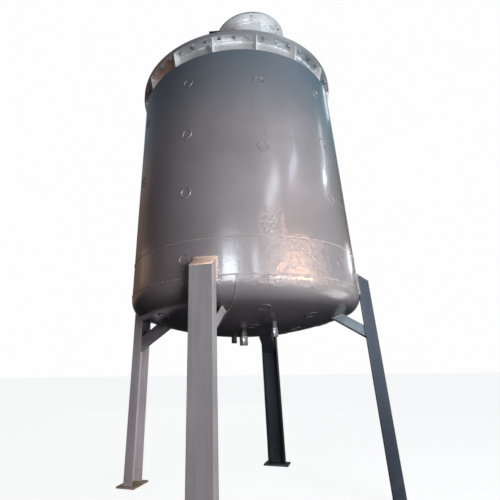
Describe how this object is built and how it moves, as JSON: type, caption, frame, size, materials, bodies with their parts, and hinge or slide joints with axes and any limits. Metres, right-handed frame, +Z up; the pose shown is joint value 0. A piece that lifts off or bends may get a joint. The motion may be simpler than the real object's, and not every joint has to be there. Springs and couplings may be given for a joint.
{
  "type": "jacketed glue kettle on four legs",
  "caption": "Upright jacketed kettle with dished ends, a bolted lid flange, an open manhole neck, a drive stool and four braced channel legs.",
  "frame": {"origin": "on the floor under the vessel's axis", "axes": "+Z up along the vessel's axis, -Y towards the front leg, +X towards the right leg"},
  "size_m": [2.0194, 2.0194, 4.14],
  "materials": {
    "jacket_paint": "semi-gloss grey paint over rolled plate",
    "leg_paint": "semi-gloss grey paint over rolled channel",
    "stub_paint": "dark grey paint",
    "drive_paint": "dark blue paint",
    "base_plate_steel": "dusty paint with a bloom of rust",
    "stainless": "ground stainless plate with bright welds",
    "bright_steel": "turned stainless pipe fittings",
    "gasket": "white sheet gasket"
  },
  "bodies": {
    "root": {"jacket_upper_course": "jacket_paint", "jacket_lower_course": "jacket_paint", "jacket_bottom_head": "jacket_paint", "jacket_closure_ring": "jacket_paint", "kettle_shell": "stainless", "kettle_bottom_head": "stainless", "body_flange": "stainless", "flange_gasket": "gasket", "lid_flange": "stainless", "lid": "stainless", "manhole_neck": "stainless", "manhole_hub_ring": "stainless", "manhole_flange": "stainless", "stirrer_neck": "stainless", "stool_pad_flange": "stainless", "drive_stool_tube": "drive_paint", "drive_plate_rib_1": "drive_paint", "drive_plate_rib_2": "drive_paint", "drive_plate_rib_3": "drive_paint", "drive_plate_rib_4": "drive_paint", "drive_mounting_plate": "drive_paint", "leg_front": "leg_paint", "leg_right": "leg_paint", "leg_rear": "leg_paint", "leg_left": "leg_paint", "leg_cap_front": "leg_paint", "leg_cap_right": "leg_paint", "leg_cap_rear": "leg_paint", "leg_cap_left": "leg_paint", "base_plate_front": "base_plate_steel", "base_plate_right": "base_plate_steel", "base_plate_rear": "base_plate_steel", "base_plate_left": "base_plate_steel", "knee_brace_front": "leg_paint", "knee_brace_right": "leg_paint", "knee_brace_rear": "leg_paint", "knee_brace_left": "leg_paint", "outlet_stub": "stub_paint", "steam_stub": "stub_paint", "steam_socket": "bright_steel", "drain_stub": "stub_paint", "drain_socket": "bright_steel"}
  },
  "joints": []
}
